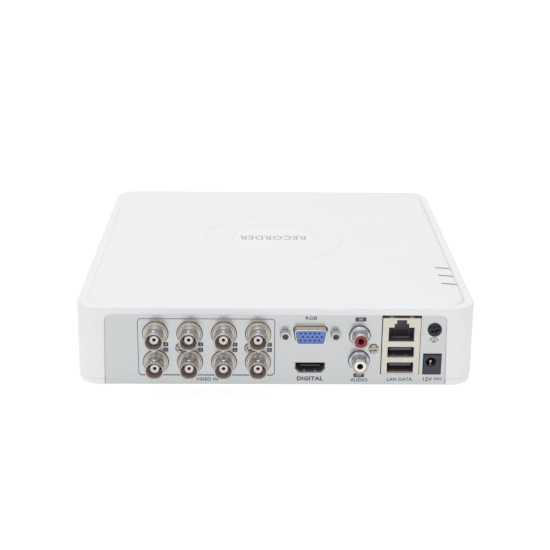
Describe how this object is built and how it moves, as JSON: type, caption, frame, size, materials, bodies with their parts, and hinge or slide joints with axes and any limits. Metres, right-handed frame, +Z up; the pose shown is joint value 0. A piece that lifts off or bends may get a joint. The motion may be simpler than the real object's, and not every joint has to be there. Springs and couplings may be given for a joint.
{
  "type": "video recorder",
  "caption": "Small white desktop video recorder with a removable top cover, a rear panel of video, audio, network, USB and power sockets, and a hard disk inside.",
  "frame": {"origin": "middle of the overall footprint, at the height of the surface the rubber feet stand on", "axes": "+Z up; -Y out of the connector panel; +X to the right for someone facing the connector panel"},
  "size_m": [0.2, 0.21, 0.045],
  "materials": {
    "case_white": "fine satin moulded plastic",
    "emblem_white": "smooth, slightly warm",
    "light_guide": "translucent grey",
    "panel_sheet": "satin plated sheet with printed labels",
    "rubber": "matt",
    "steel": "bright zinc",
    "black_metal": "black zinc",
    "nickel": "nickel plate, slightly warm",
    "insulator_white": "white moulding",
    "black_plastic": "black moulding",
    "blue_plastic": "blue moulding",
    "red_plastic": "red moulding",
    "board_green": "solder mask on glass laminate",
    "aluminium": "cast or extruded",
    "platter_mirror": "polished",
    "cable_red": "cable jacket",
    "cable_black": "cable jacket"
  },
  "bodies": {
    "housing": {"base_tray": "case_white", "rear_panel": "panel_sheet", "rubber_foot_1": "rubber", "rubber_foot_2": "rubber", "rubber_foot_3": "rubber", "rubber_foot_4": "rubber", "cover_screw_1": "steel", "cover_screw_2": "steel", "cover_screw_3": "steel", "cover_screw_4": "steel", "panel_screw_1": "steel", "panel_screw_2": "steel", "panel_screw_3": "steel", "ground_screw": "black_metal", "bnc_barrel_1": "nickel", "bnc_barrel_2": "nickel", "bnc_barrel_3": "nickel", "bnc_barrel_4": "nickel", "bnc_barrel_5": "nickel", "bnc_barrel_6": "nickel", "bnc_barrel_7": "nickel", "bnc_barrel_8": "nickel", "bnc_insulator_1": "insulator_white", "bnc_insulator_2": "insulator_white", "bnc_insulator_3": "insulator_white", "bnc_insulator_4": "insulator_white", "bnc_insulator_5": "insulator_white", "bnc_insulator_6": "insulator_white", "bnc_insulator_7": "insulator_white", "bnc_insulator_8": "insulator_white", "bnc_block_left": "black_plastic", "bnc_block_right": "black_plastic", "vga_shell": "nickel", "vga_insert": "blue_plastic", "vga_jackscrew_left": "nickel", "vga_jackscrew_right": "nickel", "digital_video_shell": "nickel", "digital_video_tongue": "black_plastic", "audio_barrel_in": "nickel", "audio_barrel_out": "nickel", "audio_insulator_in": "red_plastic", "audio_insulator_out": "insulator_white", "audio_block": "black_plastic", "network_usb_shield": "nickel", "network_usb_insert": "black_plastic", "dc_jack": "black_plastic", "main_board": "board_green", "heatsink": "aluminium", "coin_battery": "steel", "buzzer": "black_plastic", "disk_case": "aluminium", "disk_cover": "steel", "disk_circuit_board": "board_green", "disk_data_cable": "cable_red", "disk_power_cable": "cable_black"},
    "cover": {"top_cover": "case_white", "emblem_disc": "emblem_white", "light_guide": "light_guide"},
    "platters": {"disk_platters": "platter_mirror"},
    "arm": {"disk_actuator": "aluminium"}
  },
  "joints": [
    {"name": "cover_lift", "type": "slide", "parent": "housing", "child": "cover", "axis": [0, 0, 1], "range_m": [0, 0.06]},
    {"name": "platter_spin", "type": "hinge", "parent": "housing", "child": "platters", "pos_m": [-0.021, 0.0478, 0.0187], "axis": [0, 0, 1], "continuous": true},
    {"name": "arm_swing", "type": "hinge", "parent": "housing", "child": "arm", "pos_m": [0.033, 0.0218, 0.0187], "axis": [0, 0, 1], "range_deg": [0, 33]}
  ]
}
